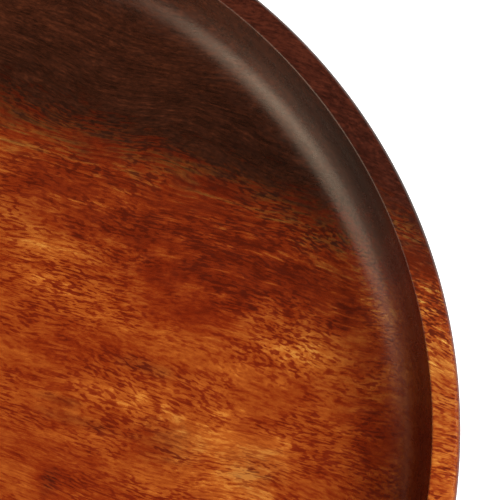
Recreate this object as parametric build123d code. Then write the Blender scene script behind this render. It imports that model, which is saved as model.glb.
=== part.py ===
from build123d import *
import math
import os

# A round wooden offering plate: two boards glued edge to edge and turned as one on a
# lathe, with a felt disc glued into the foot. Millimetres, +Z up. The origin is the
# middle of the felt's underside, which is the face that the plate stands on.

# Overall size. The height is to the mouth's corner before that corner is rounded, which
# takes a tenth of a millimetre off it.
PLATE_RADIUS = 152.5
PLATE_HEIGHT = 32.0

# The bowl: a flat floor, a cove and a steep wall that leans outwards to the mouth.
MOUTH_RADIUS = 145.0
BOWL_DEPTH = 19.0
BOWL_WALL_ANGLE = 77.0
BOWL_COVE = 14.0
MOUTH_ARRIS = 0.6

# The rim: a narrow band that falls outwards from the mouth to a rounded edge.
RIM_FALL_ANGLE = 12.0
RIM_ROUND = 2.0

# The outside: a wall roughly parallel to the bowl's, a full belly, and a turned foot.
OUTER_WALL_ANGLE = 75.0
BELLY_ROUND = 18.0
UNDERSIDE_HEIGHT = 5.0
FOOT_RADIUS = 118.0
FOOT_COVE = 2.0
FOOT_EDGE = 1.0

# The felt stands proud of the foot, so the wood never touches the table.
FELT_RADIUS = 104.5
FELT_THICKNESS = 3.0
FELT_PROUD = 1.0
FELT_EDGE = 0.5
RECESS_GAP = 0.5

# The glue joint runs along the grain, to one side of the middle.
GRAIN_ANGLE = -17.0
GLUE_JOINT_OFFSET = -20.0


def rise(angle):
    """Height gained for each millimetre outwards along a face at this angle."""
    return math.tan(math.radians(angle))


def rim_corner():
    """Where the rim's top and the outer wall would meet if the edge weren't rounded.

    The rounded edge's widest point lies exactly on the plate's radius.
    """
    wall = math.radians(OUTER_WALL_ANGLE)
    fall = math.radians(RIM_FALL_ANGLE)
    centre_radius = PLATE_RADIUS - RIM_ROUND
    centre_height = (
        PLATE_HEIGHT
        - (centre_radius - MOUTH_RADIUS) * math.tan(fall)
        - RIM_ROUND / math.cos(fall)
    )
    wall_radius = centre_radius + RIM_ROUND * math.sin(wall)
    wall_height = centre_height - RIM_ROUND * math.cos(wall)
    top_at_wall = PLATE_HEIGHT - (wall_radius - MOUTH_RADIUS) * math.tan(fall)
    outwards = (top_at_wall - wall_height) / (math.tan(wall) + math.tan(fall))
    return wall_radius + outwards, wall_height + outwards * math.tan(wall)


def plate_section():
    """Half of the turned section, in the XZ plane, with its edges rounded."""
    floor_height = PLATE_HEIGHT - BOWL_DEPTH
    recess_radius = FELT_RADIUS + RECESS_GAP
    rim_radius, rim_height = rim_corner()
    floor_corner = (MOUTH_RADIUS - BOWL_DEPTH / rise(BOWL_WALL_ANGLE), floor_height)
    belly_corner = (
        rim_radius - (rim_height - UNDERSIDE_HEIGHT) / rise(OUTER_WALL_ANGLE),
        UNDERSIDE_HEIGHT,
    )
    mouth_corner = (MOUTH_RADIUS, PLATE_HEIGHT)
    foot_root = (FOOT_RADIUS, UNDERSIDE_HEIGHT)
    foot_corner = (FOOT_RADIUS, FELT_PROUD)
    outline = [
        (0, floor_height),
        floor_corner,
        mouth_corner,
        (rim_radius, rim_height),
        belly_corner,
        foot_root,
        foot_corner,
        (recess_radius, FELT_PROUD),
        (recess_radius, FELT_THICKNESS),
        (0, FELT_THICKNESS),
    ]
    rounds = [
        (floor_corner, BOWL_COVE),
        (mouth_corner, MOUTH_ARRIS),
        ((rim_radius, rim_height), RIM_ROUND),
        (belly_corner, BELLY_ROUND),
        (foot_root, FOOT_COVE),
        (foot_corner, FOOT_EDGE),
    ]
    with BuildSketch(Plane.XZ) as section:
        with BuildLine():
            Polyline(*outline, close=True)
        make_face()
        for corner, radius in rounds:
            target = Vector(corner[0], corner[1])
            vertex = section.vertices().sort_by_distance(target)[0]
            fillet(vertex, radius)
    return section.sketch


def boards():
    """The turned plate, cut along its glue joint into its two boards."""
    plate = revolve(plate_section(), Axis.Z)
    grain = math.radians(GRAIN_ANGLE)
    across = Vector(-math.sin(grain), math.cos(grain), 0)
    joint = Plane(origin=across * GLUE_JOINT_OFFSET, z_dir=across)
    main_board = split(plate, bisect_by=joint, keep=Keep.TOP)
    side_board = split(plate, bisect_by=joint, keep=Keep.BOTTOM)
    return main_board, side_board


def felt_disc():
    """The felt under the foot, with its cut lower edge softened."""
    disc = extrude(Circle(FELT_RADIUS), FELT_THICKNESS)
    lower_edge = disc.edges().group_by(Axis.Z)[0]
    return fillet(lower_edge, FELT_EDGE)


main_board, side_board = boards()
pieces = {
    "main_board": main_board,
    "side_board": side_board,
    "base_felt": felt_disc(),
}

os.makedirs("parts", exist_ok=True)
for name, piece in pieces.items():
    export_step(piece, f"parts/{name}.step")
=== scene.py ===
"""A turned wooden offering plate: its looks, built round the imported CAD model."""

import math

import bmesh
import bpy
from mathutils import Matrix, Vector, noise


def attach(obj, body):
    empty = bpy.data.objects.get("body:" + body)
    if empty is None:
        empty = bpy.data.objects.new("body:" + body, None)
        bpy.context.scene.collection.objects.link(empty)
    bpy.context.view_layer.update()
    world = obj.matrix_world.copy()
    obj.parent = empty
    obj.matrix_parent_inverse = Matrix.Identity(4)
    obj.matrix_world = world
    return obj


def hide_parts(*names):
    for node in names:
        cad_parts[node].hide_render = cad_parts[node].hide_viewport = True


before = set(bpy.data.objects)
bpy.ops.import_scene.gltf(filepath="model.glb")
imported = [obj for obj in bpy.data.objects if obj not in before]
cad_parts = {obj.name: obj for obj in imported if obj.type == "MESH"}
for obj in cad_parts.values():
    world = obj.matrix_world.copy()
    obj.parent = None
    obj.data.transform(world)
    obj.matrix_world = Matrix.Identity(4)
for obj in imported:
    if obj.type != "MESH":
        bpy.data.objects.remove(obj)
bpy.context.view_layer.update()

MM = 0.001

# The plate's own shape, as the CAD model has it.
PLATE_RADIUS = 152.5 * MM
PLATE_HEIGHT = 32.0 * MM
MOUTH_RADIUS = 145.0 * MM
BOWL_DEPTH = 19.0 * MM
BOWL_WALL_ANGLE = math.radians(77.0)
BOWL_COVE = 14.0 * MM
MOUTH_ARRIS = 0.6 * MM
RIM_FALL_ANGLE = math.radians(12.0)
RIM_ROUND = 2.0 * MM
OUTER_WALL_ANGLE = math.radians(75.0)
BELLY_ROUND = 18.0 * MM
UNDERSIDE_HEIGHT = 5.0 * MM
FOOT_RADIUS = 118.0 * MM
FOOT_COVE = 2.0 * MM
FOOT_EDGE = 1.0 * MM
FELT_RADIUS = 104.5 * MM
FELT_THICKNESS = 3.0 * MM
FELT_PROUD = 1.0 * MM
FELT_EDGE = 0.5 * MM
RECESS_GAP = 0.5 * MM
GRAIN_ANGLE = math.radians(-17.0)
GLUE_JOINT_OFFSET = -20.0 * MM

# How finely the turned shapes are meshed, and the angle from which an edge stays sharp.
TURN_STEPS = 480
ARC_STEP = 0.4 * MM
RUN_STEP = 6.0 * MM
FELT_RUN_STEP = 1.2 * MM
SHARP_ANGLE = math.radians(40)

# The felt's matted underside: how deep it is, and how many fibres and tufts to a metre.
FELT_NAP = 0.25 * MM
FIBRES_TO_A_METRE = 900
TUFTS_TO_A_METRE = 240


# ---------------------------------------------------------------- shapes


def arc(corner, before, after, radius):
    """The points of the arc that rounds a corner, from one tangent to the other."""
    back = (before - corner).normalized()
    ahead = (after - corner).normalized()
    half = back.angle(ahead) / 2
    reach = radius / math.tan(half)
    centre = corner + (back + ahead).normalized() * radius / math.sin(half)
    first = (corner + back * reach - centre).normalized()
    last = (corner + ahead * reach - centre).normalized()
    steps = max(4, math.ceil((math.pi - 2 * half) * radius / ARC_STEP))
    return [centre + first.slerp(last, i / steps) * radius for i in range(steps + 1)]


def section_line(outline, rounds, run_step=RUN_STEP):
    """The outline with its corners rounded and its long straight runs divided."""
    corners = [Vector(p) for p in outline]
    rough = []
    for i, corner in enumerate(corners):
        if i in rounds:
            rough += arc(corner, corners[i - 1], corners[i + 1], rounds[i])
        else:
            rough.append(corner)
    line = [rough[0]]
    for point in rough[1:]:
        start = line[-1]
        pieces = max(1, round((point - start).length / run_step))
        line += [start.lerp(point, i / pieces) for i in range(1, pieces + 1)]
    return line


def rim_corner():
    """Where the rim's top and the outer wall would meet if the edge weren't rounded."""
    fall = math.tan(RIM_FALL_ANGLE)
    centre_radius = PLATE_RADIUS - RIM_ROUND
    centre_height = (
        PLATE_HEIGHT
        - (centre_radius - MOUTH_RADIUS) * fall
        - RIM_ROUND / math.cos(RIM_FALL_ANGLE)
    )
    wall_radius = centre_radius + RIM_ROUND * math.sin(OUTER_WALL_ANGLE)
    wall_height = centre_height - RIM_ROUND * math.cos(OUTER_WALL_ANGLE)
    top_at_wall = PLATE_HEIGHT - (wall_radius - MOUTH_RADIUS) * fall
    outwards = (top_at_wall - wall_height) / (math.tan(OUTER_WALL_ANGLE) + fall)
    return wall_radius + outwards, wall_height + outwards * math.tan(OUTER_WALL_ANGLE)


def plate_section():
    """The turned section's line, from the bowl's middle round to the recess's middle."""
    floor_height = PLATE_HEIGHT - BOWL_DEPTH
    rim_radius, rim_height = rim_corner()
    belly_run = (rim_height - UNDERSIDE_HEIGHT) / math.tan(OUTER_WALL_ANGLE)
    recess_radius = FELT_RADIUS + RECESS_GAP
    outline = [
        (0, floor_height),
        (MOUTH_RADIUS - BOWL_DEPTH / math.tan(BOWL_WALL_ANGLE), floor_height),
        (MOUTH_RADIUS, PLATE_HEIGHT),
        (rim_radius, rim_height),
        (rim_radius - belly_run, UNDERSIDE_HEIGHT),
        (FOOT_RADIUS, UNDERSIDE_HEIGHT),
        (FOOT_RADIUS, FELT_PROUD),
        (recess_radius, FELT_PROUD),
        (recess_radius, FELT_THICKNESS),
        (0, FELT_THICKNESS),
    ]
    # The radius of each rounded corner, by its place in the outline.
    rounds = {
        1: BOWL_COVE,
        2: MOUTH_ARRIS,
        3: RIM_ROUND,
        4: BELLY_ROUND,
        5: FOOT_COVE,
        6: FOOT_EDGE,
    }
    return section_line(outline, rounds)


def turned(line):
    """A closed bmesh: the line, which starts and ends on the axis, turned about Z."""
    shape = bmesh.new()
    rings = []
    for point in line[1:-1]:
        ring = []
        for step in range(TURN_STEPS):
            angle = 2 * math.pi * step / TURN_STEPS
            place = (point.x * math.cos(angle), point.x * math.sin(angle), point.y)
            ring.append(shape.verts.new(place))
        rings.append(ring)
    top = shape.verts.new((0, 0, line[0].y))
    bottom = shape.verts.new((0, 0, line[-1].y))
    for step in range(TURN_STEPS):
        after = (step + 1) % TURN_STEPS
        shape.faces.new((top, rings[0][step], rings[0][after]))
        shape.faces.new((bottom, rings[-1][after], rings[-1][step]))
        for inner, outer in zip(rings, rings[1:]):
            shape.faces.new((inner[step], outer[step], outer[after], inner[after]))
    bmesh.ops.recalc_face_normals(shape, faces=shape.faces)
    return shape


def piece(name, shape, material):
    """A shown object made of a bmesh, smooth except at its sharp edges."""
    mesh = bpy.data.meshes.new(name)
    shape.to_mesh(mesh)
    shape.free()
    mesh.polygons.foreach_set("use_smooth", [True] * len(mesh.polygons))
    mesh.set_sharp_from_angle(angle=SHARP_ANGLE)
    mesh.materials.append(material)
    made = bpy.data.objects.new(name, mesh)
    bpy.context.scene.collection.objects.link(made)
    return made


def across_grain():
    """The unit vector across the grain, from the side board to the main board."""
    return Vector((-math.sin(GRAIN_ANGLE), math.cos(GRAIN_ANGLE), 0))


def board(name, keep_above, material):
    """One of the two boards: the turned plate, cut at the glue joint."""
    shape = turned(plate_section())
    across = across_grain()
    cut = bmesh.ops.bisect_plane(
        shape,
        geom=shape.verts[:] + shape.edges[:] + shape.faces[:],
        plane_co=across * GLUE_JOINT_OFFSET,
        plane_no=across,
        clear_inner=keep_above,
        clear_outer=not keep_above,
    )
    rim = [e for e in cut["geom_cut"] if isinstance(e, bmesh.types.BMEdge)]
    filled = bmesh.ops.edgeloop_fill(shape, edges=rim)
    bmesh.ops.triangulate(shape, faces=filled["faces"])
    bmesh.ops.recalc_face_normals(shape, faces=shape.faces)
    return piece(name, shape, material)


def felt_pad(material):
    """The glued disc of felt, its underside and edge matted unevenly by its fibres."""
    section = [(0, FELT_THICKNESS), (FELT_RADIUS, FELT_THICKNESS), (FELT_RADIUS, 0), (0, 0)]
    shape = turned(section_line(section, {2: FELT_EDGE}, FELT_RUN_STEP))
    for vert in shape.verts:
        if vert.co.z < FELT_PROUD:
            fibres = noise.noise(vert.co * FIBRES_TO_A_METRE)
            tufts = noise.noise(vert.co * TUFTS_TO_A_METRE)
            vert.co.z += FELT_NAP * (1 + 0.6 * fibres + 0.4 * tufts) / 2
    return piece("felt_pad", shape, material)


# ---------------------------------------------------------------- material graphs


class Graph:
    """Adds shader nodes to one material and joins them up."""

    def __init__(self, name):
        self.material = bpy.data.materials.new(name)
        self.material.use_nodes = True
        self.tree = self.material.node_tree
        self.shader = self.tree.nodes["Principled BSDF"]

    def add(self, kind, inputs=None, **settings):
        """A node with its settings, and its inputs linked or set."""
        made = self.tree.nodes.new("ShaderNode" + kind)
        for name, value in settings.items():
            setattr(made, name, value)
        for name, value in (inputs or {}).items():
            self.feed(made.inputs[name], value)
        return made

    def feed(self, socket, value):
        """Links a socket to another one, or sets it to a plain value."""
        if isinstance(value, bpy.types.NodeSocket):
            self.tree.links.new(value, socket)
        else:
            socket.default_value = value

    def math(self, operation, first, second=0.0, third=0.0, clamp=False):
        """A sum, product or other result of up to three values."""
        inputs = {0: first, 1: second, 2: third}
        made = self.add("Math", inputs, operation=operation, use_clamp=clamp)
        return made.outputs[0]

    def mapped(self, vector, location=(0, 0, 0), rotation=(0, 0, 0), scale=(1, 1, 1)):
        """A place scaled, turned and moved."""
        inputs = {"Vector": vector, "Location": location, "Rotation": rotation, "Scale": scale}
        return self.add("Mapping", inputs).outputs[0]

    def noise(self, vector, detail=2.0, roughness=0.5, distortion=0.0, output="Fac"):
        """Soft noise whose lumps are about one unit across."""
        inputs = {
            "Vector": vector,
            "Scale": 1.0,
            "Detail": detail,
            "Roughness": roughness,
            "Distortion": distortion,
        }
        return self.add("TexNoise", inputs).outputs[output]

    def ramp(self, value, low, high, start=0.0, end=1.0):
        """Smooth change from start to end as the value goes from low to high."""
        inputs = {
            "Value": value,
            "From Min": low,
            "From Max": high,
            "To Min": start,
            "To Max": end,
        }
        made = self.add("MapRange", inputs, interpolation_type="SMOOTHSTEP")
        return made.outputs[0]

    def mix(self, share, first, second, blend="MIX"):
        """Two colours blended; the node's sockets 6 and 7 are the ones for colours."""
        inputs = {"Factor": share, 6: first, 7: second}
        made = self.add("Mix", inputs, data_type="RGBA", blend_type=blend)
        return made.outputs[2]

    def colours(self, value, stops):
        """A colour for each value, through stops of (place, (red, green, blue))."""
        made = self.add("ValToRGB", {"Fac": value})
        elements = made.color_ramp.elements
        while len(elements) < len(stops):
            elements.new(0.5)
        for element, (place, colour) in zip(elements, stops):
            element.position = place
            element.color = (*colour, 1.0)
        return made.outputs[0]

    def bump(self, height, strength, distance):
        """The surface's direction, tilted as if it had this fine relief."""
        inputs = {"Height": height, "Strength": strength, "Distance": distance}
        return self.add("Bump", inputs).outputs[0]


# ---------------------------------------------------------------- acacia

# Colours of the lacquered wood, from the darkest pore to the brightest figure.
ORANGE_COLOURS = [
    (0.00, (0.098, 0.0072, 0.0012)),
    (0.18, (0.148, 0.0112, 0.0016)),
    (0.36, (0.213, 0.0176, 0.0022)),
    (0.52, (0.289, 0.0325, 0.0036)),
    (0.70, (0.396, 0.0720, 0.0083)),
    (0.86, (0.512, 0.1130, 0.0135)),
    (1.00, (0.680, 0.2150, 0.0310)),
]
HEART_COLOURS = [
    (0.00, (0.0180, 0.0047, 0.0020)),
    (0.35, (0.0335, 0.0085, 0.0034)),
    (0.65, (0.0540, 0.0130, 0.0052)),
    (1.00, (0.1000, 0.0245, 0.0090)),
]
GLUE_LINE_COLOUR = (0.030, 0.0090, 0.0030, 1.0)

# What those colours are multiplied by in places.
# Painted sheen: a paler, yellower cast on the orange wood near the heartwood.
NEAR_HEART_PAINTED_SHEEN = (1.0, 1.26, 1.55, 1.0)
STAIN_TINT = (0.52, 0.70, 1.3, 1.0)
# Darker end grain: partly the wood's own colour, partly painted shade on the bowl's walls that
# face along the grain.
END_GRAIN_AND_SHADE_TINT = (0.34, 0.22, 0.20, 1.0)
# Painted light and sheen: these two tints make the rim's top lighter and paler.
ORANGE_RIM_PAINTED_LIGHT = (1.22, 1.54, 1.75, 1.0)
HEART_RIM_PAINTED_LIGHT = (1.05, 0.92, 1.20, 1.0)

# The lacquer's roughness, from its smoothest to its roughest, and the depth of its relief.
LACQUER_ROUGHNESS = (0.25, 0.35)
LACQUER_RELIEF = 0.06 * MM

# The length and width of each kind of mark in the grain, in millimetres.
BROAD_SIZE = (50, 14)
MOTTLE_SIZE = (6, 3.8)
LINE_SIZE = (18, 1.0)
FLECK_SIZE = (1.6, 0.5)
CROWD_SIZE = (16, 8)
SHORT_PORE_SIZE = (2.4, 0.66)
LONG_PORE_SIZE = (8.0, 0.60)
RIPPLE_SIZE = (1.2, 0.6)
SHORT_PORE_SLANT = math.radians(5.0)

# How light the orange wood is on the whole, and how much darker its pores are.
ORANGE_LEVEL = 0.64
PORE_DARKENING = 0.46

# Where the heartwood begins, in millimetres across the grain from the plate's middle. The
# main board's edge slants along the grain, lies further out higher up, and bends inwards
# past a place along the grain.
MAIN_HEART_EDGE = 87.4
HEART_SLANT = 0.025
HEART_LEAN = 0.35
HEART_BEND_START = 68.0
HEART_BEND = 0.0040
SIDE_HEART_EDGE = -118.0

# Moves the side board's grain, in millimetres, so that it doesn't run on from the main one.
SIDE_BOARD_SHIFT = (310, 170, 40)

# Patches of the figure, in millimetres: the place along and across the grain from the
# plate's middle, half the length and width, and how much lighter or darker it is.
# Four dark patches in the main list, at (111, 67), (119, 42), (126, 40) and (118, 57), are
# painted shade on the floor's edge along the bowl's right-hand cove.
MAIN_FIGURE_AND_SHADE = [
    (30, 62, 11, 3.5, 0.26),
    (45, 50, 10, 6, 0.14),
    (28, 53, 9, 4, 0.24),
    (101, 54, 9, 6, 0.24),
    (89, 45, 10, 3, 0.14),
    (76, 33, 17, 5, 0.15),
    (96, 14, 9, 7, 0.24),
    (88, 22, 19, 10, 0.29),
    (73, 9, 11, 5, 0.20),
    (62, 27, 14, 4, 0.25),
    (25, 80, 15, 6, -0.22),
    (36, 71, 18, 5, -0.12),
    (49, 73, 18, 4.5, -0.32),
    (60, 64, 20, 4.5, -0.24),
    (76, 60, 9, 5, -0.14),
    (64, 81, 24, 7, -0.24),
    (50, 82, 14, 3.5, -0.10),
    (66, 90, 9, 3, -0.20),
    (30, 90, 6, 3, -0.20),
    (76, 71, 18, 8, -0.32),
    (67, 56, 14, 6, -0.26),
    (98, 71, 14, 8, -0.28),
    # Painted shade along the bowl's right-hand cove.
    (111, 67, 6, 4, -0.32),
    (54, 41, 11, 5, -0.14),
    # Painted shade along the bowl's right-hand cove: this patch and the next two.
    (119, 42, 6, 6, -0.16),
    (126, 40, 6, 10, -0.20),
    (118, 57, 5, 7, -0.12),
    (40, 36, 9, 4, -0.14),
    (41, 18, 10, 3, -0.20),
    (48, 1, 6, 5, -0.22),
    (134, 72, 7, 5, -0.12),
    (121, 82, 8, 4.5, -0.36),
    (34.5, 67, 1.8, 0.9, -0.60),
]
SIDE_FIGURE = [
    (-60, -50, 40, 9, 0.22),
    (30, -70, 50, 10, -0.18),
    (70, -40, 22, 6, 0.20),
    (-20, -95, 36, 8, 0.16),
]
# Where pores crowd: along, across, half the length and half the width.
MAIN_FLECKS = [
    (34, 53, 20, 13),
    (98, 55, 16, 12),
    (92, 84, 18, 7),
    (128, 68, 12, 12),
]
SIDE_FLECKS = [
    (-40, -70, 25, 10),
    (60, -90, 20, 9),
]
# Greyer streaks, in the same way.
MAIN_STAINS = [
    (50, 19, 12, 2.0),
    (43, 23, 6, 1.4),
    (74, 21, 9, 6),
    (97, 20, 8, 7),
    (63, 38, 9, 2),
    (47, 1, 2, 5),
]
SIDE_STAINS = [
    (-80, -62, 20, 2.0),
    (20, -44, 12, 1.6),
]


def offset(g, noise_colour, reach, place):
    """The place moved by a noise colour, up to half the reach either way."""
    middle = {0: noise_colour, 1: (0.5, 0.5, 0.5)}
    centred = g.add("VectorMath", middle, operation="SUBTRACT").outputs[0]
    moved = {0: centred, 1: reach, 2: place}
    return g.add("VectorMath", moved, operation="MULTIPLY_ADD").outputs[0]


def grain_space(g, shift):
    """Millimetres along the grain, across it and up: straight, and gently waved."""
    place = g.add("TexCoord").outputs["Object"]
    to_mm = {"scale": (1 / MM, 1 / MM, 1 / MM)}
    straight = g.mapped(place, rotation=(0, 0, -GRAIN_ANGLE), **to_mm)
    moved = g.mapped(straight, location=shift)
    wave = g.noise(g.mapped(moved, scale=(1 / 60, 1 / 45, 1 / 45)), 1.0, output="Color")
    wobble = g.noise(g.mapped(moved, scale=(1 / 9, 1 / 6, 1 / 6)), 1.0, output="Color")
    waved = offset(g, wave, (0, 18, 18), moved)
    return straight, offset(g, wobble, (0, 1.2, 1.2), waved)


def grain_noise(g, space, size, detail=2.0, roughness=0.5):
    """Noise whose marks are so many millimetres long and wide."""
    along, across = size
    stretched = g.mapped(space, scale=(1 / along, 1 / across, 1 / across))
    return g.noise(stretched, detail, roughness)


def weighted(g, start, terms):
    """The start value plus each noise's difference from a half, times its weight."""
    total = start
    for noise_value, weight in terms:
        from_half = g.math("SUBTRACT", noise_value, 0.5)
        total = g.math("MULTIPLY_ADD", from_half, weight, total)
    return total


def rim_top(g, facing, height):
    """One on the rim's top, where light and sheen are painted, and nought elsewhere."""
    top = PLATE_HEIGHT / MM
    high = g.ramp(height, top - 5.0, top - 3.0)
    upwards = g.add("SeparateXYZ", {0: facing}).outputs[2]
    return g.math("MULTIPLY", high, g.ramp(upwards, 0.5, 0.85))


def cut_across(g, facing):
    """One where the surface faces along the grain, so that it shows end grain."""
    grain = (math.cos(GRAIN_ANGLE), math.sin(GRAIN_ANGLE), 0)
    along_grain = g.add("VectorMath", {0: facing, 1: grain}, operation="DOT_PRODUCT")
    return g.ramp(g.math("ABSOLUTE", along_grain.outputs["Value"]), 0.30, 0.95)


def border_fraying(g, bent):
    """How far a patch's border is moved in or out, by noises that nothing else uses."""
    elsewhere = g.mapped(bent, location=(0, 0, 60))
    ragged = grain_noise(g, elsewhere, LINE_SIZE, 3.0, 0.6)
    lobed = grain_noise(g, elsewhere, MOTTLE_SIZE, 3.0, 0.6)
    return weighted(g, 0.0, [(ragged, 0.6), (lobed, 1.8)])


class Wood:
    """What a board's colours are worked out from: places, directions and noises."""

    def __init__(self, g, heart_edge, shift):
        facing = g.add("TexCoord").outputs["Normal"]
        self.straight, self.bent = grain_space(g, shift)
        self.parts = g.add("SeparateXYZ", {0: self.straight}).outputs
        # The rim's top, where painted light and sheen go.
        self.painted_rim_light = rim_top(g, facing, self.parts[2])
        self.end_grain = cut_across(g, facing)
        self.fraying = border_fraying(g, self.bent)

        self.broad = grain_noise(g, self.bent, BROAD_SIZE)
        self.mottle = grain_noise(g, self.bent, MOTTLE_SIZE, 3.0, 0.6)
        self.lines = grain_noise(g, self.bent, LINE_SIZE, 3.0, 0.6)
        self.fleck = grain_noise(g, self.bent, FLECK_SIZE, 2.0, 0.6)

        # Streaks and pores show less in end grain.
        self.marking = g.math("MULTIPLY_ADD", self.end_grain, -0.7, 1.0)
        self.streaks = g.math("MULTIPLY", g.math("SUBTRACT", self.lines, 0.5), self.marking)

        # Millimetres past the heartwood's edge, which the marks make ragged.
        edge = weighted(g, heart_edge(g, self.parts), [(self.mottle, 16.0), (self.broad, 10.0)])
        self.past_edge = g.math("MULTIPLY_ADD", self.streaks, 36.0, edge)


def patch(g, wood, along, across, half_length, half_width):
    """One where the patch is, fading to nought round it, with a frayed border."""
    inputs = {
        "Vector": wood.straight,
        "Location": (along, across, 0),
        "Scale": (half_length, half_width, 1),
    }
    local = g.add("Mapping", inputs, vector_type="TEXTURE").outputs[0]
    flat = g.add("VectorMath", {0: local, 1: (1, 1, 0)}, operation="MULTIPLY").outputs[0]
    distance = g.add("VectorMath", {0: flat}, operation="LENGTH").outputs["Value"]
    return g.ramp(g.math("ADD", distance, wood.fraying), 0.1, 1.5, 1.0, 0.0)


def pores(g, wood, flecks):
    """One in a pore, short or long, and less where the pores don't crowd."""
    crowd = g.ramp(grain_noise(g, wood.bent, CROWD_SIZE), 0.38, 0.60, 0.25, 0.75)
    for shape in flecks:
        crowd = g.math("MAXIMUM", crowd, patch(g, wood, *shape))
    slanting = g.mapped(wood.bent, rotation=(0, 0, SHORT_PORE_SLANT))
    short = grain_noise(g, slanting, SHORT_PORE_SIZE, 1.0)
    short = g.math("MULTIPLY_ADD", crowd, 0.04, short)
    long = grain_noise(g, wood.bent, LONG_PORE_SIZE, 1.0)
    either = g.math("MAXIMUM", g.ramp(short, 0.52, 0.66), g.ramp(long, 0.56, 0.68))
    return g.math("MULTIPLY", either, g.math("MULTIPLY", crowd, wood.marking))


def orange_tone(g, wood, figure_and_shade):
    """How light the orange wood is, apart from its pores.

    The light patches are marked more strongly than the dark ones, and the streaks are
    strongest beside the heartwood.
    """
    tone = weighted(g, ORANGE_LEVEL, [(wood.broad, 0.5)])
    # Patches of figure, and on the main board a few dark ones of painted shade along the bowl's
    # right-hand cove.
    for *shape, gain in figure_and_shade:
        tone = g.math("MULTIPLY_ADD", patch(g, wood, *shape), gain, tone)
    strength = g.ramp(tone, 0.35, 0.95, 0.85, 1.15)
    marks = weighted(g, 0.0, [(wood.mottle, 0.5), (wood.lines, 0.6)])
    tone = g.math("MULTIPLY_ADD", marks, strength, tone)
    tone = weighted(g, tone, [(wood.fleck, 0.3)])
    beside_heart = g.ramp(wood.past_edge, -22.0, 2.0)
    more_lines = g.math("MULTIPLY_ADD", wood.streaks, 1.8, -0.10)
    return g.math("MULTIPLY_ADD", beside_heart, more_lines, tone)


def orange_wood(g, wood, in_pore, figure_and_shade, stains):
    """The orange wood's colour, with painted light and sheen on the rim's top: more contrast
    there, and lighter and paler.
    """
    tone = orange_tone(g, wood, figure_and_shade)
    tone = g.math("MULTIPLY_ADD", in_pore, -PORE_DARKENING, tone)
    # Painted light on the rim's top: more contrast there.
    contrast = g.math("MULTIPLY_ADD", wood.painted_rim_light, 0.4, 1.0)
    tone = g.math("MULTIPLY_ADD", g.math("SUBTRACT", tone, 0.5), contrast, 0.5, clamp=True)
    colour = g.colours(tone, ORANGE_COLOURS)
    # Painted sheen near the heartwood: the orange wood made paler and yellower.
    painted_sheen_near_heart = g.ramp(wood.past_edge, -42.0, -12.0)
    colour = g.mix(painted_sheen_near_heart, colour, NEAR_HEART_PAINTED_SHEEN, blend="MULTIPLY")
    # Painted light and sheen: the rim's top made lighter and paler.
    colour = g.mix(wood.painted_rim_light, colour, ORANGE_RIM_PAINTED_LIGHT, blend="MULTIPLY")
    taken_up = g.math("MULTIPLY_ADD", in_pore, 0.65, 0.35)
    for shape in stains:
        marked = g.math("MULTIPLY", patch(g, wood, *shape), taken_up)
        colour = g.mix(marked, colour, STAIN_TINT, blend="MULTIPLY")
    return colour


def heart_wood(g, wood, in_pore):
    """The dark heartwood's colour, which is lighter further in, with painted light and sheen on
    the rim's top.
    """
    depth = g.ramp(wood.past_edge, 4.0, 40.0, -0.14, 0.16)
    tone = weighted(g, depth, [(wood.mottle, 0.6), (wood.lines, 1.0), (wood.fleck, 1.3)])
    tone = g.math("MULTIPLY_ADD", in_pore, -0.16, tone)
    # Painted light and sheen on the rim's top: lighter, then tinted.
    tone = g.math("MULTIPLY_ADD", wood.painted_rim_light, 0.16, tone)
    colour = g.colours(g.math("ADD", tone, 0.5), HEART_COLOURS)
    return g.mix(wood.painted_rim_light, colour, HEART_RIM_PAINTED_LIGHT, blend="MULTIPLY")


def glued(g, wood, colour):
    """The colour with a thin dark line along the glue joint."""
    from_joint = g.math("SUBTRACT", wood.parts[1], GLUE_JOINT_OFFSET / MM)
    glue_line = g.ramp(g.math("ABSOLUTE", from_joint), 0.08, 0.22, 0.7, 0.0)
    return g.mix(glue_line, colour, GLUE_LINE_COLOUR)


def lacquer(g, wood, in_pore):
    """A semi-gloss finish, which has the pores and lines in it as fine relief."""
    dullness = g.math("MULTIPLY_ADD", in_pore, 0.3, wood.mottle)
    g.feed(g.shader.inputs["Roughness"], g.ramp(dullness, 0.3, 1.0, *LACQUER_ROUGHNESS))
    g.shader.inputs["Specular IOR Level"].default_value = 0.62
    g.shader.inputs["Specular Tint"].default_value = (1.0, 0.88, 0.76, 1.0)
    ripple = grain_noise(g, wood.bent, RIPPLE_SIZE, 2.0, 0.6)
    height = weighted(g, 0.0, [(ripple, 0.45), (wood.lines, 0.35)])
    height = g.math("MULTIPLY_ADD", in_pore, -0.4, height)
    g.feed(g.shader.inputs["Normal"], g.bump(height, 0.35, LACQUER_RELIEF))


def acacia(name, figure_and_shade, flecks, stains, heart_edge, shift=(0, 0, 0)):
    """Lacquered acacia; heart_edge works out where the dark heartwood begins."""
    g = Graph(name)
    wood = Wood(g, heart_edge, shift)
    in_pore = pores(g, wood, flecks)
    orange = orange_wood(g, wood, in_pore, figure_and_shade, stains)
    in_heart = g.ramp(g.math("MULTIPLY_ADD", in_pore, 4.0, wood.past_edge), -9.0, 12.0)
    colour = g.mix(in_heart, orange, heart_wood(g, wood, in_pore))
    # Partly end grain's own darker colour, partly painted shade on the bowl's walls that face
    # along the grain.
    colour = g.mix(wood.end_grain, colour, END_GRAIN_AND_SHADE_TINT, blend="MULTIPLY")
    g.feed(g.shader.inputs["Base Color"], glued(g, wood, colour))
    lacquer(g, wood, in_pore)
    return g.material


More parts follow.
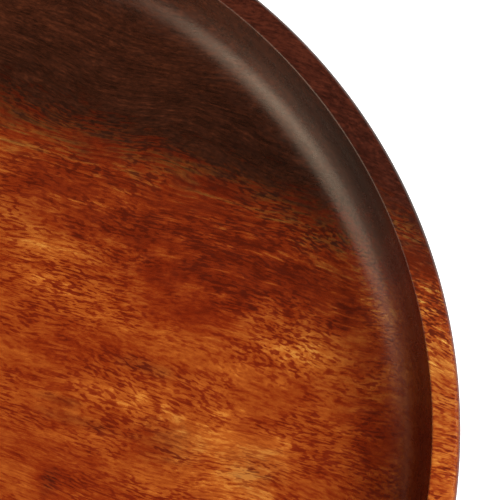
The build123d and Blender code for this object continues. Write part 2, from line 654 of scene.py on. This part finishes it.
def main_heart_edge(g, parts):
    """Millimetres past the smooth edge of the main board's heartwood."""
    past_bend = g.math("MAXIMUM", g.math("SUBTRACT", parts[0], HEART_BEND_START), 0.0)
    bend = g.math("MULTIPLY", past_bend, past_bend)
    slanted = g.math("MULTIPLY_ADD", parts[0], HEART_SLANT, parts[1])
    leaning = g.math("MULTIPLY_ADD", parts[2], -HEART_LEAN, slanted)
    straight = g.math("SUBTRACT", leaning, MAIN_HEART_EDGE)
    return g.math("MULTIPLY_ADD", bend, HEART_BEND, straight)


def side_heart_edge(g, parts):
    """Millimetres past the edge of the side board's heartwood, at its outer side."""
    return g.math("SUBTRACT", SIDE_HEART_EDGE, parts[1])


def felt():
    """Brown felt: matted fibres and strands, with a little sheen."""
    g = Graph("felt")
    place = g.mapped(g.add("TexCoord").outputs["Object"], scale=(1 / MM, 1 / MM, 1 / MM))
    fibres = g.noise(g.mapped(place, scale=(1.4, 1.4, 1.4)), 5.0, 0.7, 1.5)
    strands = g.noise(g.mapped(place, scale=(0.5, 2.6, 1.0)), 3.0, 0.6, 2.5)
    cloud = g.noise(g.mapped(place, scale=(0.06, 0.06, 0.06)), 3.0)
    tone = weighted(g, 0.5, [(cloud, 0.5), (fibres, 0.9), (strands, 0.7)])
    colour = g.colours(tone, [(0.2, (0.060, 0.030, 0.020)), (0.8, (0.170, 0.098, 0.068))])
    g.feed(g.shader.inputs["Base Color"], colour)
    g.shader.inputs["Roughness"].default_value = 0.95
    g.shader.inputs["Sheen Weight"].default_value = 0.5
    matted = g.math("ADD", fibres, strands)
    g.feed(g.shader.inputs["Normal"], g.bump(matted, 0.8, 0.2 * MM))
    return g.material


def paper():
    """The pale floor: it glows a little, and is overexposed where it is seen itself."""
    g = Graph("paper")
    seen = g.add("LightPath").outputs["Is Camera Ray"]
    g.shader.inputs["Base Color"].default_value = (0.60, 0.60, 0.60, 1)
    g.shader.inputs["Roughness"].default_value = 0.9
    g.shader.inputs["Specular IOR Level"].default_value = 0.2
    g.shader.inputs["Emission Color"].default_value = (1, 1, 1, 1)
    g.feed(g.shader.inputs["Emission Strength"], g.math("MULTIPLY_ADD", seen, 0.9, 0.5))
    return g.material


# ---------------------------------------------------------------- the object

main_wood = acacia("acacia_main", MAIN_FIGURE_AND_SHADE, MAIN_FLECKS, MAIN_STAINS, main_heart_edge)
main_board = board("turned_main_board", True, main_wood)
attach(main_board, "root")
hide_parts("main_board")

side_wood = acacia(
    "acacia_side", SIDE_FIGURE, SIDE_FLECKS, SIDE_STAINS, side_heart_edge, SIDE_BOARD_SHIFT
)
side_board = board("turned_side_board", False, side_wood)
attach(side_board, "root")
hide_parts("side_board")

base_felt = felt_pad(felt())
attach(base_felt, "root")
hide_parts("base_felt")


# ---------------------------------------------------------------- floor, light, camera

FLOOR_RADIUS = 12.0
WARM_WHITE = (1.0, 0.98, 0.95)
PALE_CREAM = (1.0, 0.87, 0.72)
# Azimuth and elevation that each soft light comes from, its strength, angle and colour,
# and whether it lights surfaces and shows in their gloss.
LIGHTS = {
    "front": (-72, 38, 3.0, 35, WARM_WHITE, True, True),
    "right": (10, 36, 1.9, 30, WARM_WHITE, True, False),
    "left": (206, 22, 0.50, 42, WARM_WHITE, True, False),
    "left_gloss": (201, 24, 0.92, 45, PALE_CREAM, False, True),
    "left_glint": (206, 23, 0.19, 18, PALE_CREAM, False, True),
}


def sun(name, azimuth, elevation, strength, width, colour, lights_surfaces, in_gloss):
    """A soft light from far away; width is the angle that it fills."""
    light = bpy.data.lights.new(name, "SUN")
    light.energy = strength
    light.angle = math.radians(width)
    light.color = colour
    made = bpy.data.objects.new(name, light)
    made.rotation_euler = (math.radians(90 - elevation), 0, math.radians(azimuth + 90))
    made.visible_diffuse = lights_surfaces
    made.visible_glossy = in_gloss
    bpy.context.scene.collection.objects.link(made)


def studio_world():
    """A dim surround that is pale only near the horizon, behind the floor."""
    world = bpy.data.worlds.new("studio")
    bpy.context.scene.world = world
    world.use_nodes = True
    nodes, links = world.node_tree.nodes, world.node_tree.links
    place = nodes.new("ShaderNodeTexCoord")
    parts = nodes.new("ShaderNodeSeparateXYZ")
    ramp = nodes.new("ShaderNodeMapRange")
    ramp.inputs["From Min"].default_value = 0.03
    ramp.inputs["From Max"].default_value = 0.12
    ramp.inputs["To Min"].default_value = 0.85
    ramp.inputs["To Max"].default_value = 0.02
    links.new(place.outputs["Generated"], parts.inputs[0])
    links.new(parts.outputs[2], ramp.inputs["Value"])
    links.new(ramp.outputs[0], nodes["Background"].inputs["Color"])


floor_shape = bmesh.new()
bmesh.ops.create_circle(floor_shape, cap_ends=True, segments=96, radius=FLOOR_RADIUS)
floor = piece("studio_floor", floor_shape, paper())

for light_name, settings in LIGHTS.items():
    sun(light_name, *settings)

studio_world()

# The camera looks along +Y and down, at a point above the plate's upper right quarter.
CAMERA_ELEVATION = math.radians(75.0)
CAMERA_DISTANCE = 1.0
CAMERA_LENS = 275.8
CAMERA_TARGET = Vector((98.0 * MM, 45.2 * MM, PLATE_HEIGHT))

camera_data = bpy.data.cameras.new("camera")
camera_data.lens = CAMERA_LENS
camera_data.sensor_width = 36.0
camera = bpy.data.objects.new("camera", camera_data)
bpy.context.scene.collection.objects.link(camera)
to_camera = Vector((0, -math.cos(CAMERA_ELEVATION), math.sin(CAMERA_ELEVATION)))
camera.location = CAMERA_TARGET + to_camera * CAMERA_DISTANCE
camera.rotation_euler = (math.pi / 2 - CAMERA_ELEVATION, 0, 0)
bpy.context.scene.camera = camera
bpy.context.scene.view_settings.view_transform = "Standard"
